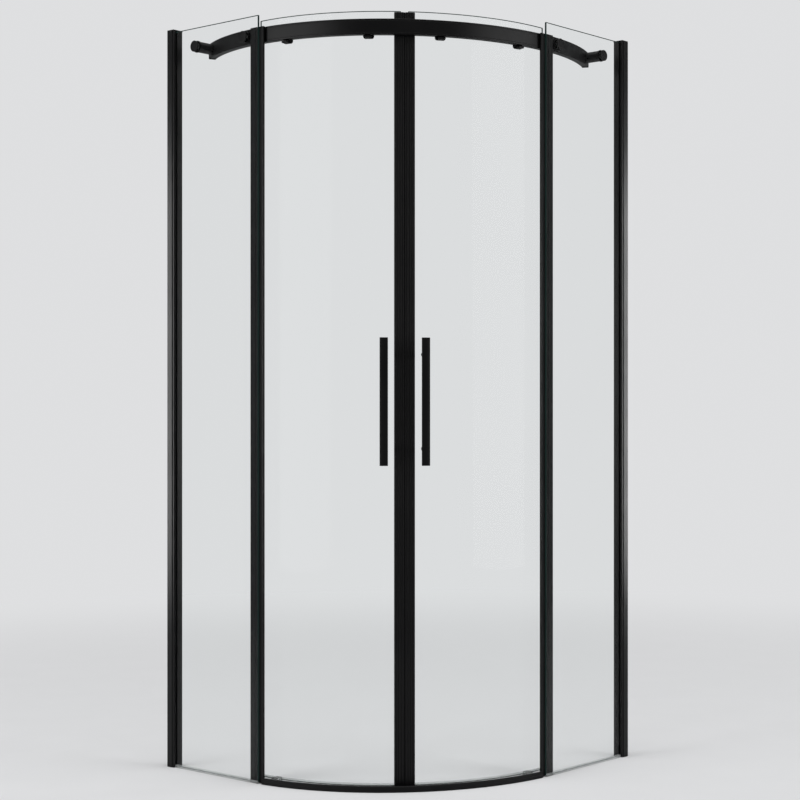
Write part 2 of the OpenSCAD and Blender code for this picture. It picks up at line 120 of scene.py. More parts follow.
def colour(name, description, default):
    return FloatVectorProperty(
        name=name, description=description, default=default, subtype="COLOR", size=3, min=0, max=1)


class ShowerSizes(bpy.types.PropertyGroup):
    """Sizes of the finish, such as rounded edges and the steps of the curves"""

    curve_step: number(
        "Curve Step", "Angle between two steps of a curved piece", math.radians(0.75),
        min=math.radians(0.25), max=math.radians(3), subtype="ANGLE")
    turned_steps: IntProperty(
        name="Turned Steps", description="Number of sides of a turned piece",
        default=64, min=24, max=128)
    rail_edge: length("Rail Edge", "Radius of the rail's outer edges", 1.2, 0.2, 1.4)
    profile_edge: length(
        "Profile Edge", "Radius of the outer edges of the upright profiles", 0.9, 0.1, 1.2)
    glass_arris: length("Glass Arris", "Width of the ground edge round each pane", 1.4, 0.1, 1.6)
    handle_crown: length("Handle Crown", "Rise of the handle's face in its middle", 1.6, 0, 2.5)
    part_edge: length("Part Edge", "Radius of the edges of the small moulded parts", 0.7, 0.1, 1)


class ShowerFinishes(bpy.types.PropertyGroup):
    """Colours of the finishes"""

    powder_coat: colour("Powder Coat", "Colour of the coated aluminium", (0.0024, 0.0024, 0.0026))
    moulded_black: colour("Moulded Black", "Colour of the moulded plastic", (0.0028, 0.0028, 0.003))
    glass_tint: colour(
        "Glass Tint", "Colour of light that has passed through a pane", (0.972, 0.985, 0.982))
    # The pane edges are painted near black: painted shade over the glass's own green
    glass_edge: colour(
        "Glass Edge", "Colour of the polished edges of the panes", (0.012, 0.026, 0.023))
    nylon: colour("Nylon", "Colour of the roller wheels", (0.62, 0.60, 0.55))
    steel: colour("Steel", "Colour of the bright steel", (0.56, 0.56, 0.57))
    seal: colour("Clear Seal", "Colour of the soft clear seals", (0.93, 0.95, 0.945))


class ShowerStage(bpy.types.PropertyGroup):
    """Floor, background, lamps and camera"""

    background: colour("Background", "Colour behind the enclosure", (0.735, 0.74, 0.75))
    floor: colour("Floor", "Colour of the floor", (0.7, 0.705, 0.715))
    fill: number("Fill", "Strength of the light from all sides", 0.5, min=0, max=2)
    mirrored: number(
        "Mirrored", "Share of the background that gloss mirrors", 0.32, min=0, max=1)
    lamps: number("Lamps", "Strength of the soft lamps", 1.0, min=0, max=4)
    camera_place: FloatVectorProperty(
        name="Camera", description="Place of the camera", subtype="TRANSLATION", unit="LENGTH",
        size=3, default=(3.3241, -3.5005, 0.9845))
    camera_turn: number(
        "Camera Turn", "Heading of the camera", math.radians(38.61), subtype="ANGLE")
    lens: number("Lens", "Focal length in millimetres", 78.06, min=20)
    shift_x: number("Shift X", "Sideways shift of the frame", -0.1875)
    shift_y: number("Shift Y", "Upward shift of the frame", 0.0077)


# Places

def outward(angle):
    """The direction away from the centre of the curve, with the angle in degrees."""
    turn = math.radians(angle - 90)
    return Vector((math.cos(turn), math.sin(turn), 0))


def spot(angle, radius, height, along=0.0):
    """A world point on the left half, from an angle in degrees and lengths in metres."""
    out = outward(angle)
    place = CENTRE + out.xy * radius + Vector((-out.y, out.x)) * along
    return Vector((place.x, place.y, height))


# Meshes

def link(name, data):
    piece = bpy.data.objects.new(name, data)
    bpy.context.scene.collection.objects.link(piece)
    return piece


def drawn(name, points=(), edges=()):
    """A new piece made of points and edges."""
    mesh = bpy.data.meshes.new(name)
    mesh.from_pydata(points, edges, [])
    return link(name, mesh)


def settle(piece):
    """Swap a piece's modifiers for the mesh that they make."""
    depsgraph = bpy.context.evaluated_depsgraph_get()
    made = bpy.data.meshes.new_from_object(
        piece.evaluated_get(depsgraph), preserve_all_data_layers=True, depsgraph=depsgraph)
    before = piece.data
    piece.modifiers.clear()
    piece.data = made
    made.name = piece.name
    bpy.data.meshes.remove(before)
    return piece


def edit(piece, work):
    """Run work on a piece's mesh as a bmesh."""
    mesh = bmesh.new()
    mesh.from_mesh(piece.data)
    work(mesh)
    mesh.to_mesh(piece.data)
    mesh.free()
    return piece


def face_outwards(mesh):
    bmesh.ops.recalc_face_normals(mesh, faces=mesh.faces)


def round_edges(piece, width, steps=2, from_angle=35):
    """Round the edges that turn by more than an angle in degrees."""
    bevel = piece.modifiers.new("Rounded Edges", "BEVEL")
    bevel.width = width
    bevel.segments = steps
    bevel.limit_method = "ANGLE"
    bevel.angle_limit = math.radians(from_angle)
    bevel.use_clamp_overlap = False
    return settle(piece)


def shade(piece, sharp=38):
    """Smooth shading that follows the large faces, with creases kept where they are sharp."""
    piece.data.shade_smooth()
    piece.data.set_sharp_from_angle(angle=math.radians(sharp))
    weighted = piece.modifiers.new("Weighted Normals", "WEIGHTED_NORMAL")
    weighted.keep_sharp = True
    return settle(piece)


def throw_away(piece):
    mesh = piece.data
    bpy.data.objects.remove(piece)
    bpy.data.meshes.remove(mesh)


def cut(piece, cutter):
    """Take a cutter, which is then thrown away, out of a piece."""
    boolean = piece.modifiers.new("Cut", "BOOLEAN")
    boolean.operation = "DIFFERENCE"
    boolean.solver = "EXACT"
    boolean.object = cutter
    settle(piece)
    throw_away(cutter)


def drills(places, steps=32):
    """Rods to cut holes with. A place is (start, end, diameter)."""
    def work(mesh):
        for start, end, diameter in places:
            start, end = Vector(start), Vector(end)
            along = end - start
            turn = along.to_track_quat("Z", "Y").to_matrix().to_4x4()
            bmesh.ops.create_cone(
                mesh, cap_ends=True, segments=steps, radius1=diameter / 2, radius2=diameter / 2,
                depth=along.length, matrix=Matrix.Translation((start + end) / 2) @ turn)

    return edit(drawn("rods"), work)


def rounded(node, width, material, steps=3):
    """A copy of a CAD node in a material, with its flat faces whole and its edges rounded."""
    piece = paint(link(node + "_finished", frame["nodes"][node].data.copy()), material)

    def work(mesh):
        bmesh.ops.remove_doubles(mesh, verts=mesh.verts, dist=1e-6)
        bmesh.ops.dissolve_limit(
            mesh, angle_limit=math.radians(0.8), verts=mesh.verts, edges=mesh.edges)

    return shade(round_edges(edit(piece, work), width, steps))


def twin(piece, name):
    """The mirror image of a left piece in the plane x + y = 0."""
    other = link(name, piece.data.copy())
    other.data.name = name
    normals = [MIRROR.to_3x3() @ n.vector for n in other.data.corner_normals]
    other.data.transform(MIRROR)
    order = []
    for polygon in other.data.polygons:
        loops = list(polygon.loop_indices)
        order.extend([loops[0]] + loops[:0:-1])
    other.data.flip_normals()
    other.data.normals_split_custom_set([normals[i] for i in order])
    return other


def finished(piece, node, replaced=True):
    """Let a piece ride with its CAD node's body, and stand for that node."""
    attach(piece, BODY_OF[node])
    if replaced:
        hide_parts(node)
    return piece


def both_sides(piece, left_node, replaced=True):
    """Finish a left piece and add its twin on the right."""
    other = twin(piece, piece.name.replace("left", "right"))
    finished(piece, left_node, replaced)
    finished(other, left_node.replace("left", "right"), replaced)
    return piece, other


# Geometry node trees

class Nodes:
    """A short way to add linked nodes to a tree, in columns from left to right."""

    def __init__(self, tree):
        self.tree = tree
        self.count = 0

    def add(self, kind, settings=None, **inputs):
        node = self.tree.nodes.new(kind)
        node.location = (self.count * 190, -(self.count % 3) * 160)
        self.count += 1
        for key, value in (settings or {}).items():
            setattr(node, key, value)
        for key, value in inputs.items():
            self.join(value, self.socket(node, key))
        return node

    @staticmethod
    def socket(node, key):
        if key.startswith("in_"):
            return node.inputs[int(key[3:])]
        label = key.replace("_", " ")
        return next(s for s in node.inputs if s.name == label and s.enabled)

    def join(self, value, socket):
        """Link a socket or a node's first output, or set a constant."""
        if isinstance(value, bpy.types.NodeSocket):
            self.tree.links.new(value, socket)
        elif isinstance(value, bpy.types.Node):
            self.tree.links.new(next(s for s in value.outputs if s.enabled), socket)
        else:
            socket.default_value = value

    def math(self, operation, first, second=0.0):
        return self.add("ShaderNodeMath", {"operation": operation}, in_0=first, in_1=second)


def bare_nodes(owner):
    """The emptied node tree of a material or a world."""
    owner.use_nodes = True
    owner.node_tree.nodes.clear()
    return Nodes(owner.node_tree)


def new_tree(name, **sizes):
    """An empty geometry tree and its inputs: a geometry, named sizes and a material."""
    tree = bpy.data.node_groups.new(name, "GeometryNodeTree")
    tree.is_modifier = True
    face = tree.interface
    for label, kind in {"Geometry": "Geometry", **sizes, "Material": "Material"}.items():
        face.new_socket(
            label.replace("_", " "), in_out="INPUT", socket_type="NodeSocket" + kind)
    face.new_socket("Geometry", in_out="OUTPUT", socket_type="NodeSocketGeometry")
    nodes = Nodes(tree)
    return nodes, nodes.add("NodeGroupInput").outputs


def close_tree(nodes, geometry, given):
    """End a tree in Realize Instances and Set Material."""
    real = nodes.add("GeometryNodeRealizeInstances", Geometry=geometry)
    painted = nodes.add(
        "GeometryNodeSetMaterial", Geometry=real, Material=given["Material"])
    out = nodes.add("NodeGroupOutput")
    nodes.join(painted, out.inputs[0])
    return nodes.tree


def welded(nodes, geometry):
    return nodes.add("GeometryNodeMergeByDistance", Geometry=geometry, Distance=2e-6)


def section_curve(nodes, given):
    """The drawn section as a closed curve, with each corner rounded by its own radius."""
    curve = nodes.add("GeometryNodeMeshToCurve", Mesh=given["Geometry"])
    radius = nodes.add("GeometryNodeInputNamedAttribute", {"data_type": "FLOAT"}, Name="round")
    return nodes.add(
        "GeometryNodeFilletCurve", {"mode": "POLY"}, Curve=curve, Count=given["Corner Steps"],
        Radius=radius, Limit_Radius=True)


def sweep_tree(name):
    """A section drawn as (radius, height), turned about the centre of the curve."""
    nodes, given = new_tree(
        name, Corner_Steps="Int", Path_Radius="Float", Start_Angle="Float", Sweep_Angle="Float",
        Step_Angle="Float", Centre="Vector")
    curve = section_curve(nodes, given)
    place = nodes.add("ShaderNodeSeparateXYZ", Vector=nodes.add("GeometryNodeInputPosition"))
    turned = nodes.add(
        "ShaderNodeCombineXYZ",
        X=nodes.math("SUBTRACT", place.outputs[0], given["Path Radius"]),
        Y=nodes.math("MULTIPLY", place.outputs[1], -1.0))
    profile = nodes.add("GeometryNodeSetPosition", Geometry=curve, Position=turned)
    steps = nodes.math("CEIL", nodes.math("DIVIDE", given["Sweep Angle"], given["Step Angle"]))
    arc = nodes.add(
        "GeometryNodeCurveArc", {"mode": "RADIUS"}, Resolution=nodes.math("ADD", steps, 1.0),
        Radius=given["Path Radius"], Start_Angle=given["Start Angle"],
        Sweep_Angle=given["Sweep Angle"])
    path = nodes.add("GeometryNodeSetCurveNormal", {"mode": "Z_UP"}, Curve=arc)
    shell = nodes.add(
        "GeometryNodeCurveToMesh", Curve=path, Profile_Curve=profile, Fill_Caps=True)
    placed = nodes.add(
        "GeometryNodeTransform", Geometry=welded(nodes, shell), Translation=given["Centre"])
    return close_tree(nodes, placed, given)


def upright_tree(name):
    """A section drawn as world (x, y), drawn out from one height to another."""
    nodes, given = new_tree(name, Corner_Steps="Int", Bottom="Float", Top="Float")
    curve = section_curve(nodes, given)
    low = nodes.add("ShaderNodeCombineXYZ", Z=given["Bottom"])
    high = nodes.add("ShaderNodeCombineXYZ", Z=given["Top"])
    path = nodes.add("GeometryNodeCurvePrimitiveLine", Start=low, End=high)
    shell = nodes.add(
        "GeometryNodeCurveToMesh", Curve=path, Profile_Curve=curve, Fill_Caps=True)
    return close_tree(nodes, welded(nodes, shell), given)


def turned_tree(name):
    """A turned part at each point, along that point's axis, with an optional cross recess."""
    nodes, given = new_tree(
        name, Outline="Object", Sides="Int", Recess_Width="Float", Recess_Length="Float",
        Recess_Floor="Float")
    bore = 1e-3
    outline = nodes.add("GeometryNodeObjectInfo", Object=given["Outline"])
    curve = nodes.add("GeometryNodeMeshToCurve", Mesh=outline.outputs["Geometry"])
    place = nodes.add("ShaderNodeSeparateXYZ", Vector=nodes.add("GeometryNodeInputPosition"))
    flat = nodes.add(
        "ShaderNodeCombineXYZ", X=nodes.math("SUBTRACT", place.outputs[0], bore),
        Y=nodes.math("MULTIPLY", place.outputs[1], -1.0))
    profile = nodes.add("GeometryNodeSetPosition", Geometry=curve, Position=flat)
    ring = nodes.add(
        "GeometryNodeCurvePrimitiveCircle", {"mode": "RADIUS"}, Resolution=given["Sides"],
        Radius=bore)
    path = nodes.add("GeometryNodeSetCurveNormal", {"mode": "Z_UP"}, Curve=ring)
    shell = nodes.add("GeometryNodeCurveToMesh", Curve=path, Profile_Curve=profile)
    whole = welded(nodes, shell)
    bar_height = 0.02
    middle = nodes.add(
        "ShaderNodeCombineXYZ", Z=nodes.math("ADD", given["Recess Floor"], bar_height / 2))
    arms = nodes.add("GeometryNodeJoinGeometry")
    for size in (("Recess Length", "Recess Width"), ("Recess Width", "Recess Length")):
        shape = nodes.add(
            "ShaderNodeCombineXYZ", X=given[size[0]], Y=given[size[1]], Z=bar_height)
        bar = nodes.add("GeometryNodeMeshCube", Size=shape)
        moved = nodes.add("GeometryNodeTransform", Geometry=bar, Translation=middle)
        nodes.join(moved, arms.inputs[0])
    crossed = nodes.add(
        "GeometryNodeMeshBoolean", {"operation": "DIFFERENCE", "solver": "EXACT"},
        Self_Intersection=True)
    nodes.join(whole, crossed.inputs[0])
    nodes.join(arms, crossed.inputs[1])
    has_cross = nodes.math("GREATER_THAN", given["Recess Width"], 1e-6)
    part = nodes.add("GeometryNodeSwitch", {"input_type": "GEOMETRY"})
    nodes.join(has_cross, part.inputs[0])
    nodes.join(whole, part.inputs[1])
    nodes.join(crossed, part.inputs[2])
    axis = nodes.add(
        "GeometryNodeInputNamedAttribute", {"data_type": "FLOAT_VECTOR"}, Name="axis")
    turn = nodes.add("FunctionNodeAlignRotationToVector", {"axis": "Z"}, Vector=axis)
    placed = nodes.add(
        "GeometryNodeInstanceOnPoints", Points=given["Geometry"], Instance=part, Rotation=turn)
    return close_tree(nodes, placed, given)


TREES = {"Section Round the Curve": sweep_tree, "Upright Section": upright_tree,
         "Turned Parts": turned_tree}


def grow(piece, name, **values):
    """Run a tree on a piece with its inputs set by their names, and keep the plain mesh."""
    tree = bpy.data.node_groups.get(name) or TREES[name](name)
    modifier = piece.modifiers.new(name, "NODES")
    modifier.node_group = tree
    for item in tree.interface.items_tree:
        key = item.name.replace(" ", "_")
        if item.in_out == "INPUT" and key in values:
            modifier[item.identifier] = values[key]
    return edit(settle(piece), face_outwards)


def section(name, points):
    """A closed line through (x, y, radius of the corner), in millimetres."""
    count = len(points)
    line = drawn(name, [(p[0] * MM, p[1] * MM, 0) for p in points],
                 [(i, (i + 1) % count) for i in range(count)])
    corner = line.data.attributes.new("round", "FLOAT", "POINT")
    for item, point in zip(corner.data, points):
        item.value = (point[2] if len(point) > 2 else 0) * MM
    return line


def swept(name, points, start, end, material, corner_steps=3):
    """A piece that follows the curve, its section given as (radius, height, corner radius)."""
    return grow(
        section(name, points), "Section Round the Curve", Corner_Steps=corner_steps,
        Path_Radius=RAIL_RI, Start_Angle=math.radians(start - 90),
        Sweep_Angle=math.radians(end - start),
        Step_Angle=bpy.context.scene.shower_sizes.curve_step,
        Centre=(CENTRE.x, CENTRE.y, 0.0), Material=finish(material))


def upright(name, points, bottom, top, material, corner_steps=3):
    """An upright piece, its section given as world (x, y, corner radius) in millimetres."""
    return grow(
        section(name, points), "Upright Section", Corner_Steps=corner_steps, Bottom=bottom,
        Top=top, Material=finish(material))


def on_curve(angle, points):
    """Section points given as (outwards, along the curve) at an angle, as world points."""
    placed = []
    for out, along, *corner in points:
        place = spot(angle, out * MM, 0, along * MM) / MM
        placed.append((place.x, place.y, *corner))
    return placed


def turned(name, outline, places, material, recess=(0, 0, 0)):
    """Turned parts from an outline of (radius, height) in millimetres, at (place, axis)."""
    shape = drawn("outline", [(r * MM, h * MM, 0) for r, h in outline],
                  [(i, i + 1) for i in range(len(outline) - 1)])
    points = drawn(name, [tuple(place) for place, _ in places])
    axis = points.data.attributes.new("axis", "FLOAT_VECTOR", "POINT")
    for item, (_, direction) in zip(axis.data, places):
        item.vector = direction
    width, reach, floor = (value * MM for value in recess)
    piece = grow(
        points, "Turned Parts", Outline=shape, Recess_Width=width, Recess_Length=reach,
        Recess_Floor=floor, Sides=bpy.context.scene.shower_sizes.turned_steps,
        Material=finish(material))
    throw_away(shape)
    return shade(piece, 30)


def ring(half, width):
    """The closed outline of a ring whose far face mirrors its near one."""
    outline = [*half, *((radius, width - height) for radius, height in reversed(half))]
    return [*outline, outline[0]]


def disc(radius, base, top, edge, dome):
    """The outline of a round cap with a rounded rim and a slightly domed face."""
    chamfer, steps = 0.15, 4
    outline = [(0, base), (radius - chamfer, base), (radius, base + chamfer)]
    for k in range(steps + 1):
        turn = math.radians(90 * k / steps)
        outline.append((radius - edge + edge * math.cos(turn), top - edge + edge * math.sin(turn)))
    for k in range(1, steps + 1):
        share = 1 - k / steps
        outline.append(((radius - edge) * share, top + dome * (1 - share * share)))
    return outline


# Finishes

def finish(name):
    return bpy.data.materials[name]


def shader_tree(name):
    """A new material's node tree, its shader and the place on the object."""
    nodes = bare_nodes(bpy.data.materials.new(name))
    shader = nodes.add("ShaderNodeBsdfPrincipled")
    out = nodes.add("ShaderNodeOutputMaterial")
    nodes.join(shader, out.inputs["Surface"])
    return nodes, shader, nodes.add("ShaderNodeTexCoord").outputs["Object"]


def set_shader(nodes, shader, **inputs):
    for key, value in inputs.items():
        nodes.join(value, nodes.socket(shader, key))


def noise(nodes, place, scale, detail, roughness=0.5):
    return nodes.add(
        "ShaderNodeTexNoise", Vector=place, Scale=scale, Detail=detail,
        Roughness=roughness).outputs["Fac"]


def ranged(nodes, value, low, high, from_low=0.3, from_high=0.7):
    return nodes.add(
        "ShaderNodeMapRange", Value=value, From_Min=from_low, From_Max=from_high,
        To_Min=low, To_Max=high)


def blend(nodes, share, first, second):
    """Mix two colours by a share."""
    mix = nodes.add("ShaderNodeMix", {"data_type": "RGBA"})
    for value, label in ((share, "Factor"), (first, "A"), (second, "B")):
        if isinstance(value, tuple):
            value = (*value, 1)
        nodes.join(value, nodes.socket(mix, label))
    return mix


def times(tint, factor):
    return tuple(min(1, part * factor) for part in tint)


def shades(nodes, share, tint, low, high, *span):
    """A tint that goes from one multiple of itself to another."""
    return blend(nodes, ranged(nodes, share, 0, 1, *span), times(tint, low), times(tint, high))


def relief(nodes, height, strength, depth):
    """A bump of a height, with its depth in millimetres."""
    return nodes.add("ShaderNodeBump", Strength=strength, Distance=depth * MM, Height=height)


def coated_metal(name, tint, rough, peel, gloss):
    """Satin powder coat: fine orange peel, and faint clouds of tone and sheen."""
    nodes, shader, place = shader_tree(name)
    cloud = noise(nodes, place, 7, 4)
    speck = noise(nodes, place, 420, 2)
    tone = shades(nodes, cloud, tint, 0.8, 1.25)
    tone = blend(nodes, ranged(nodes, speck, 0, 0.35, 0.55, 0.8), tone, times(tint, 2.2))
    sheen = nodes.math("ADD", ranged(nodes, cloud, *rough), ranged(nodes, speck, -0.03, 0.03))
    set_shader(nodes, shader, Base_Color=tone, Roughness=sheen, Specular_IOR_Level=gloss,
               Normal=relief(nodes, noise(nodes, place, 1100, 2), 0.35, peel))


def moulded_plastic(name, tint):
    """Moulded plastic with the fine eroded texture of its mould."""
    nodes, shader, place = shader_tree(name)
    grain = nodes.add("ShaderNodeTexVoronoi", Vector=place, Scale=1700.0).outputs["Distance"]
    cloud = noise(nodes, place, 25, 3)
    set_shader(nodes, shader, Base_Color=shades(nodes, cloud, tint, 0.85, 1.3),
               Roughness=ranged(nodes, cloud, 0.42, 0.52),
               Normal=relief(nodes, grain, 0.4, 0.02), Specular_IOR_Level=0.16)


def clear_glass(name, tint):
    """Clear toughened glass with the faint waves of its furnace rollers."""
    nodes, shader, place = shader_tree(name)
    stretched = nodes.add("ShaderNodeMapping", Vector=place, Scale=(1.0, 1.0, 3.0))
    film = noise(nodes, place, 5, 5, 0.6)
    set_shader(nodes, shader, Base_Color=shades(nodes, film, tint, 0.997, 1), Roughness=0.0,
               IOR=1.15, Transmission_Weight=1.0,
               Normal=relief(nodes, noise(nodes, stretched, 3, 1), 0.05, 0.3))


def polished_edge(name, tint):
    """The ground and polished edge of a pane: the glass's own green, painted near black as painted shade for the
    dark that light takes on inside the pane.
    """
    nodes, shader, place = shader_tree(name)
    streak = nodes.add("ShaderNodeMapping", Vector=place, Scale=(900.0, 900.0, 6.0))
    ground = noise(nodes, streak, 1, 3)
    set_shader(nodes, shader, Base_Color=shades(nodes, ground, tint, 0.7, 1.5),
               Roughness=ranged(nodes, ground, 0.14, 0.24), Specular_IOR_Level=0.12,
               Transmission_Weight=0.04, Normal=relief(nodes, ground, 0.2, 0.02))


def clouded(name, tint, cloud, tones, rough, grain, bump, span=(0.3, 0.7), **values):
    """A finish whose tone and roughness follow one noise, over a finer relief."""
    nodes, shader, place = shader_tree(name)
    share = noise(nodes, place, *cloud)
    set_shader(nodes, shader, Base_Color=shades(nodes, share, tint, *tones, *span),
               Roughness=ranged(nodes, share, *rough),
               Normal=relief(nodes, noise(nodes, place, grain, 2), *bump), **values)


def rounded_pair(left_node, width, material, steps=3):
    both_sides(rounded(left_node, width, material, steps), left_node)


def repaint(node, material):
    """Give a CAD node that stays as it is a better material."""
    for entry in frame["nodes"][node].material_slots:
        entry.material = finish(material)


def repaint_both(left_node, material):
    repaint(left_node, material)
    repaint(left_node.replace("left", "right"), material)


def paint(piece, material):
    piece.data.materials.clear()
    piece.data.materials.append(finish(material))
    return piece


def finish_pane(piece, node, across):
    """Polish the faces of a pane that don't face across it, and let light through its sides."""
    shade(piece)
    piece.data.materials.append(finish("Polished Edge"))
    for polygon in piece.data.polygons:
        polygon.material_index = int(abs(polygon.normal.dot(across(polygon.center))) < 0.9)
    for pane in both_sides(piece, node):
        pane.visible_shadow = False
        pane.visible_diffuse = False


def mirrored(places):
    """Turned places on the left, followed by their mirror images."""
    return places + [(MIRROR @ Vector(place), MIRROR.to_3x3() @ Vector(axis))
                     for place, axis in places]


# Operators, one for each group of like pieces

class BuildStep:
    """What every step shares"""

    bl_options = {"REGISTER", "UNDO"}


class SHOWER_OT_finishes(BuildStep, bpy.types.Operator):
    """Make the materials of glass, powder coat, plastic, rubber and steel"""

    bl_idname = "shower.finishes"
    bl_label = "Finishes"

    def execute(self, context):
        colours = context.scene.shower_finishes
        coat = tuple(colours.powder_coat)
        coated_metal("Powder Coat", coat, rough=(0.30, 0.40), peel=0.012, gloss=0.2)
        coated_metal("Black Zinc", times(coat, 1.6), rough=(0.26, 0.36), peel=0.006, gloss=0.4)
        moulded_plastic("Moulded Black", tuple(colours.moulded_black))
        clear_glass("Clear Glass", tuple(colours.glass_tint))
        # Near-black pane edges: painted shade over the glass's own green
        polished_edge("Polished Edge", tuple(colours.glass_edge))
        # Matt extruded rubber with a faint bloom
        clouded("Black Rubber", times(coat, 1.2), (60, 5, 0.6), (1, 2), (0.55, 0.75), 900,
                (0.3, 0.03), Specular_IOR_Level=0.18)
        # Soft clear plastic, slightly smoky
        seal = tuple(colours.seal)
        for name, tint in (("Clear Seal", seal), ("Clear Guide", times(seal, 1.03))):
            clouded(name, tint, (40, 4), (0.96, 1.03), (0.14, 0.2), 300, (0.1, 0.02),
                    IOR=1.4, Specular_IOR_Level=0.3, Transmission_Weight=0.88)
        # Turned steel with fine tool marks
        clouded("Bright Steel", tuple(colours.steel), (90, 4), (0.86, 1.06), (0.20, 0.32),
                1300, (0.25, 0.01), Metallic=1.0)
        # Turned nylon, its tone a little darker in random clouds
        clouded("White Nylon", tuple(colours.nylon), (140, 5, 0.65), (1, 0.72), (0.34, 0.5),
                800, (0.2, 0.02), span=(0.4, 0.75), Specular_IOR_Level=0.45)
        return {"FINISHED"}


def adjuster_holes(back, start, end):
    """Rods for the adjusting screws' holes, from and to a distance behind a profile's back."""
    return [((ADJUSTERS_X, back + start, z), (ADJUSTERS_X, back + end, z), 4 * MM)
            for z in ADJUSTERS_Z]


class SHOWER_OT_wall_profiles(BuildStep, bpy.types.Operator):
    """Make the wall channels, glazing profiles, their gaskets, caps and adjusting screws"""

    bl_idname = "shower.wall_profiles"
    bl_label = "Wall Profiles"

    def execute(self, context):
        edge = context.scene.shower_sizes.profile_edge / MM
        coat = "Powder Coat"
        low, high = spans("wall_channel_left")
        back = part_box("wall_channel_left")[1].y
        wall, mouth, rear, thick = -450, -430, back / MM, WALL_THICK
        channel = upright("wall_channel_left_extrusion", [
            (wall, wall, 0.3), (mouth, wall, edge), (mouth, wall + thick, 0.3),
            (wall + thick, wall + thick, 0.2), (wall + thick, rear - thick, 0.2),
            (mouth, rear - thick, 0.3), (mouth, rear, edge), (wall, rear, 0.3),
        ], low, high, coat)
        middle = (back - 0.45) / 2
        wall_screws = [((-0.451, middle, z), (-0.447, middle, z), 5 * MM) for z in WALL_SCREWS_Z]
        cut(channel, drills(wall_screws + adjuster_holes(back, -0.003, 0.002)))
        both_sides(shade(channel), "wall_channel_left")

        chamber, nose, pocket_end = wall + 6, mouth + 6, -440
        glazing = upright("glazing_profile_left_extrusion", [
            (chamber, -448.2, 0.3), (nose, -448.2, edge), (nose, -443, 0.4), (pocket_end, -443),
            (pocket_end, -435), (nose, -435, 0.4), (nose, rear - thick, edge),
            (chamber, rear - thick, 0.3), (chamber, rear - 2 * thick, 0.2),
            (nose - 2, rear - 2 * thick, 0.3), (nose - 2, -433.4, 0.3), (chamber, -433.4, 0.2),
        ], low, high, coat)
        cut(glazing, drills(adjuster_holes(back, -0.0045, 0)))
        both_sides(shade(glazing), "glazing_profile_left")

        rounded_pair("profile_cap_left", 0.6 * MM, "Moulded Black", 2)
        repaint_both("glazing_gasket_left", "Black Rubber")

        head = [(0, 0), (3.8, 0), (4, 0.2), (4, 1.1), (3.8, 1.5), (3.3, 1.95), (2.4, 2.25),
                (1.2, 2.38), (0, 2.4)]
        places = mirrored([((ADJUSTERS_X, back, z), (0, 1, 0)) for z in ADJUSTERS_Z])
        finished(turned("adjusting_screw_heads", head, places, "Black Zinc", (0.95, 4.4, 1.0)),
                 "adjusting_screws")
        return {"FINISHED"}


class SHOWER_OT_side_panels(BuildStep, bpy.types.Operator):
    """Make the flat side panes, their bottom seals, edge profiles and edge seals"""

    bl_idname = "shower.side_panels"
    bl_label = "Side Panels"

    def execute(self, context):
        sizes = context.scene.shower_sizes
        edge = sizes.profile_edge / MM
        low, high = spans("side_glass_left")
        arris = sizes.glass_arris / MM
        held, free = -438.4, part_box("side_glass_left")[1].x / MM
        outer, inner = -441.95, -436.05
        pane = upright("side_glass_left_pane", [
            (held, outer, arris), (free, outer, arris), (free, inner, arris),
            (held, inner, arris)], low + 0.1 * MM, high, "Clear Glass", 1)
        round_edges(pane, sizes.glass_arris, 1, 50)
        cut(pane, drills(
            [((x, -0.45, RAIL_Z), (x, -0.43, RAIL_Z), 12 * MM) for x in FIXINGS_X], 48))
        finish_pane(pane, "side_glass_left", lambda centre: Vector((0, 1, 0)))
        repaint_both("side_bottom_seal_left", "Clear Seal")

        low, high = spans("edge_profile_left")
        wall_side, free_side, inner, outer = -127, -79, -430.5, -435.98
        slot, slot_end = -121, -117
        bar = upright("edge_profile_left_extrusion", [
            (wall_side, outer, 0.5), (-108.2, outer, 0.3), (-107, outer + 1.18, 0.2),
            (-105.8, outer, 0.3), (free_side, outer, 0.7), (free_side, inner, edge),
            (slot_end, inner, 0.3), (slot_end, inner - 3), (slot, inner - 3), (slot, inner, 0.3),
            (wall_side, inner, edge)], low, high, "Powder Coat")
        round_edges(bar, 0.4 * MM)
        both_sides(shade(bar), "edge_profile_left")
        repaint_both("edge_seal_left", "Black Rubber")
        return {"FINISHED"}


class SHOWER_OT_curved_rail(BuildStep, bpy.types.Operator):
    """Make the curved rail with its end stops and buffers"""

    bl_idname = "shower.curved_rail"
    bl_label = "Curved Rail"

    def execute(self, context):
        sizes = context.scene.shower_sizes
        edge = sizes.rail_edge / MM
        outer, inner = RAIL_RO / MM, RAIL_RI / MM
        low, high = RAIL_Z0 / MM, RAIL_Z1 / MM
        thick, lip, line = 3, 6, 4.8
        front = [(inner, 0, 0.6), (outer, 0, edge), (outer, line - 0.6, 0.3),
                 (outer - 0.5, line, 0.3), (outer, line + 0.6, 0.3)]
        track = [(inner, lip, 0.4), (inner + 2, lip, 0.4), (inner + 2, thick, 0.3),
                 (outer - thick, thick, 0.8)]
        rail = swept("curved_rail_extrusion", [
            *((out, low + up, corner) for out, up, corner in front),
            *((out, high - down, corner) for out, down, corner in front[::-1] + track),
            *((out, low + up, corner) for out, up, corner in track[::-1]),
        ], RAIL_END, 90 - RAIL_END, "Powder Coat")
        finished(shade(rail), "curved_rail")
        rounded_pair("rail_end_stop_left", sizes.part_edge, "Moulded Black")
        repaint("stop_buffers", "Black Rubber")
        return {"FINISHED"}


